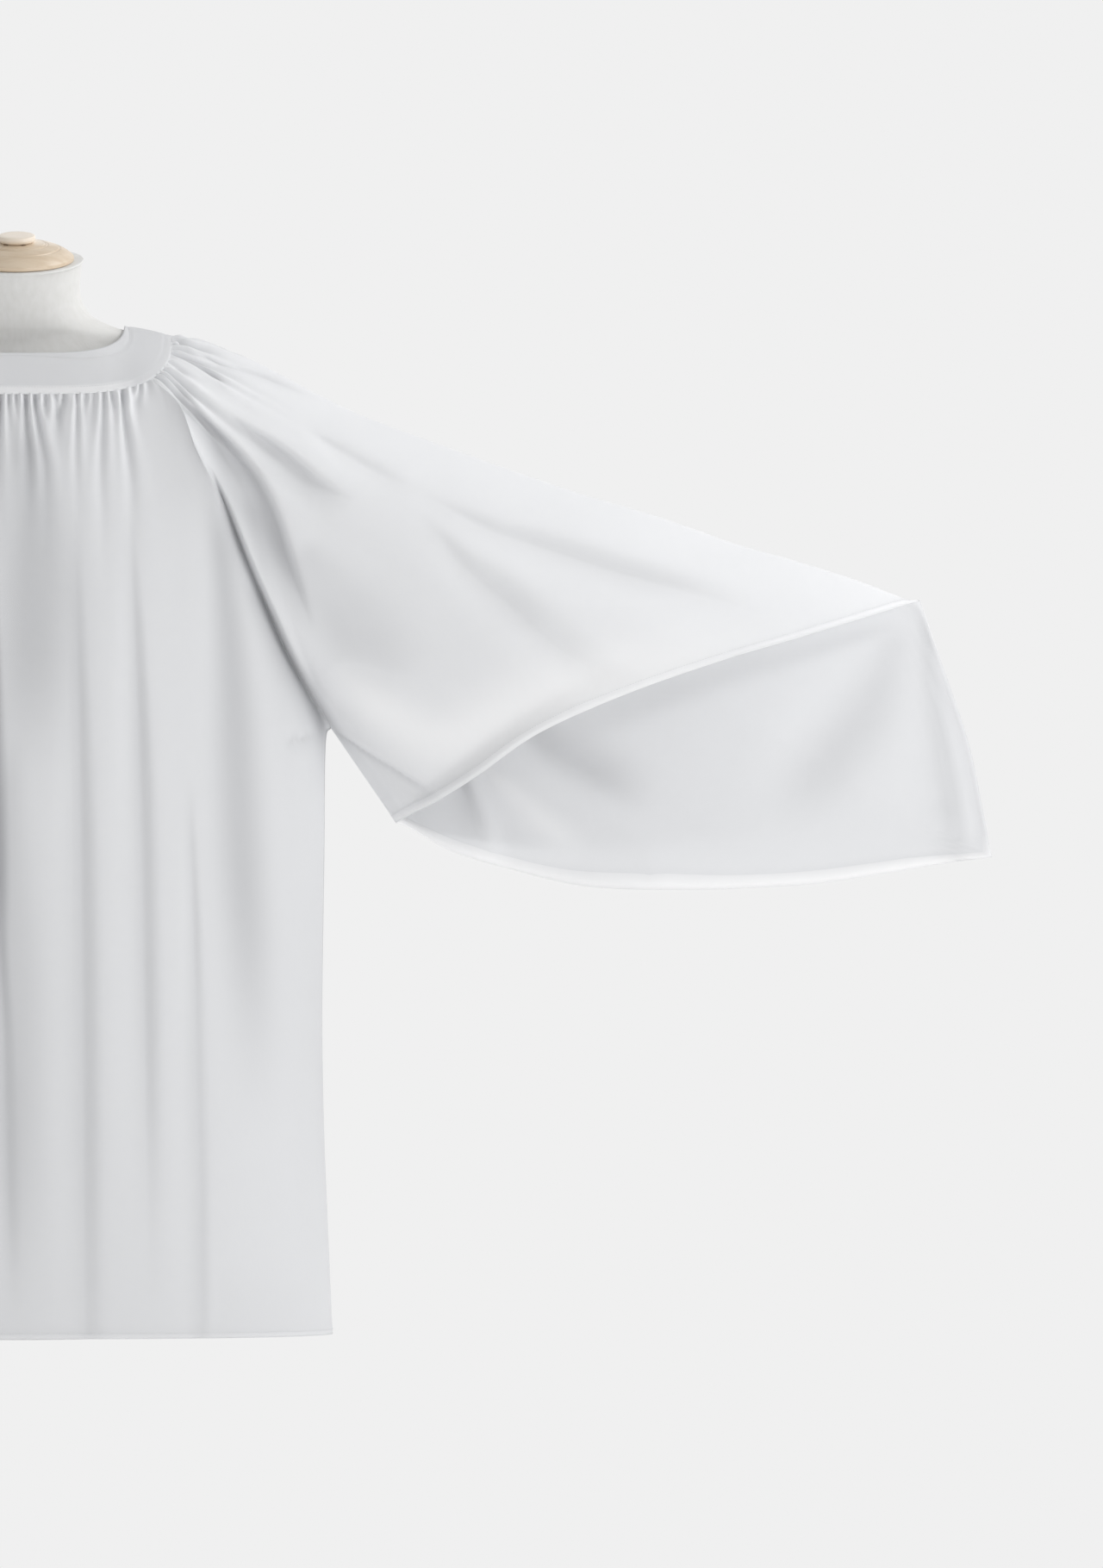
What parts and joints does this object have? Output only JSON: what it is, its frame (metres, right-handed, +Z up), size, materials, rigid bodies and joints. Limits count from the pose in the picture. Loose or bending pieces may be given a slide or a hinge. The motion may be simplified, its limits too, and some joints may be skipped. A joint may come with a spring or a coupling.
{
  "type": "surplice on a limbless dress form",
  "caption": "White cotton surplice, yoke with gathered front and back and wide raglan sleeves held out, on a limbless dress form whose low foot the skirt hides",
  "frame": {"origin": "centre of the foot's underside, on the surface it stands on", "axes": "+Z up along the pole, +X to the wearer's left, +Y to the wearer's back"},
  "size_m": [2.0412, 0.3184, 1.1533],
  "materials": {
    "cotton": "fine plain-weave white cotton, matt",
    "jersey": "ivory cotton jersey cover, matt",
    "wood": "pale turned wood, satin",
    "paint": "white powder coat"
  },
  "bodies": {
    "root": {"yoke": "cotton", "front": "cotton", "back": "cotton", "sleeve_left": "cotton", "sleeve_right": "cotton", "form_torso": "jersey", "neck_cap": "wood", "pole": "paint", "foot": "paint"}
  },
  "joints": []
}
